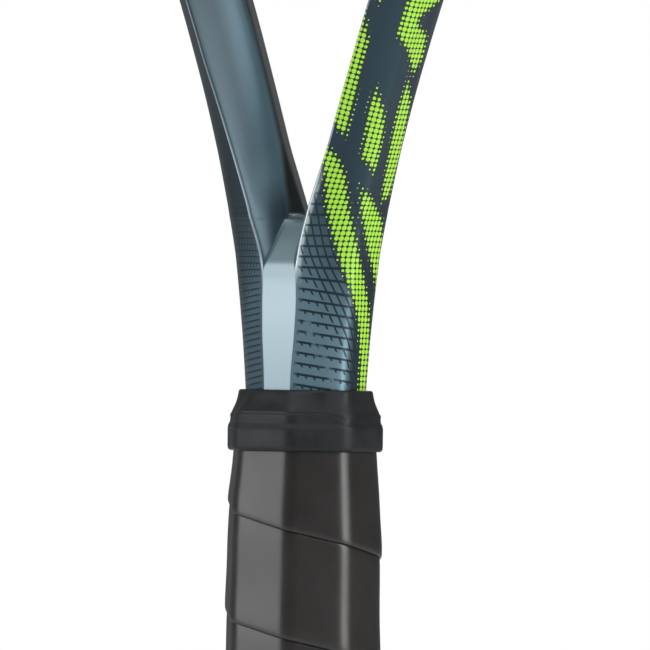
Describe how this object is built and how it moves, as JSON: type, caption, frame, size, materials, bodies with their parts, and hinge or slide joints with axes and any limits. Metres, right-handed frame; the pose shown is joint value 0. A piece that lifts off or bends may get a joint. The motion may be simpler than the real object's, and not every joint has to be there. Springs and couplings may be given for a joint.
{
  "type": "tennis racket",
  "caption": "Strung tennis racket: oval hollow hoop, forked throat with a bridge, wrapped octagonal handle, rubber grip collar, sliding string dampener and hinged butt door.",
  "frame": {"origin": "middle of the butt cap's bottom face", "axes": "+Z along the racket from butt to tip, X across the head in the plane of the strings, +Y through the strings towards the back"},
  "size_m": [0.2664, 0.0356, 0.6852],
  "materials": {
    "painted_carbon": "satin paint over moulded carbon fibre, slate blue-grey with green dot stripes",
    "grommet_nylon": "moulded nylon, matt black",
    "string_polyester": "drawn polyester monofilament, glossy charcoal",
    "pallet_foam": "rigid polyurethane foam, sanded",
    "cap_plastic": "injection-moulded plastic, fine grain",
    "grip_polyurethane": "smooth polyurethane grip band, semi-gloss, overlapping turns",
    "collar_rubber": "moulded rubber, matt",
    "tape": "vinyl finishing tape",
    "steel": "drawn steel wire",
    "lead": "cast lead, dull",
    "dampener_silicone": "moulded silicone, matt green"
  },
  "bodies": {
    "racket": {"frame": "painted_carbon", "throat_bridge": "painted_carbon", "bumper_guard": "grommet_nylon", "grommet_strip_left": "grommet_nylon", "grommet_strip_right": "grommet_nylon", "bridge_grommet_strip": "grommet_nylon", "main_string_01": "string_polyester", "main_string_02": "string_polyester", "main_string_03": "string_polyester", "main_string_04": "string_polyester", "main_string_05": "string_polyester", "main_string_06": "string_polyester", "main_string_07": "string_polyester", "main_string_08": "string_polyester", "main_string_09": "string_polyester", "main_string_10": "string_polyester", "main_string_11": "string_polyester", "main_string_12": "string_polyester", "main_string_13": "string_polyester", "main_string_14": "string_polyester", "main_string_15": "string_polyester", "main_string_16": "string_polyester", "cross_string_01": "string_polyester", "cross_string_02": "string_polyester", "cross_string_03": "string_polyester", "cross_string_04": "string_polyester", "cross_string_05": "string_polyester", "cross_string_06": "string_polyester", "cross_string_07": "string_polyester", "cross_string_08": "string_polyester", "cross_string_09": "string_polyester", "cross_string_10": "string_polyester", "cross_string_11": "string_polyester", "cross_string_12": "string_polyester", "cross_string_13": "string_polyester", "cross_string_14": "string_polyester", "cross_string_15": "string_polyester", "cross_string_16": "string_polyester", "cross_string_17": "string_polyester", "cross_string_18": "string_polyester", "cross_string_19": "string_polyester", "pallet_front": "pallet_foam", "pallet_back": "pallet_foam", "butt_cap": "cap_plastic", "door_hinge_pin": "steel", "grip_wrap": "grip_polyurethane", "finishing_tape": "tape", "balance_weight_left": "lead", "balance_weight_right": "lead"},
    "collar": {"grip_collar": "collar_rubber"},
    "butt_door": {"butt_cap_door": "cap_plastic"},
    "dampener": {"string_dampener": "dampener_silicone"}
  },
  "joints": [
    {"name": "collar_slide", "type": "slide", "parent": "racket", "child": "collar", "axis": [0, 0, 1], "range_m": [0, 0.004]},
    {"name": "butt_door_hinge", "type": "hinge", "parent": "racket", "child": "butt_door", "pos_m": [0, 0.0076, 0.0019], "axis": [1, 0, 0], "range_deg": [0, 100]},
    {"name": "dampener_slide", "type": "slide", "parent": "racket", "child": "dampener", "axis": [0, 0, 1], "range_m": [-0.01, 0.009]}
  ]
}
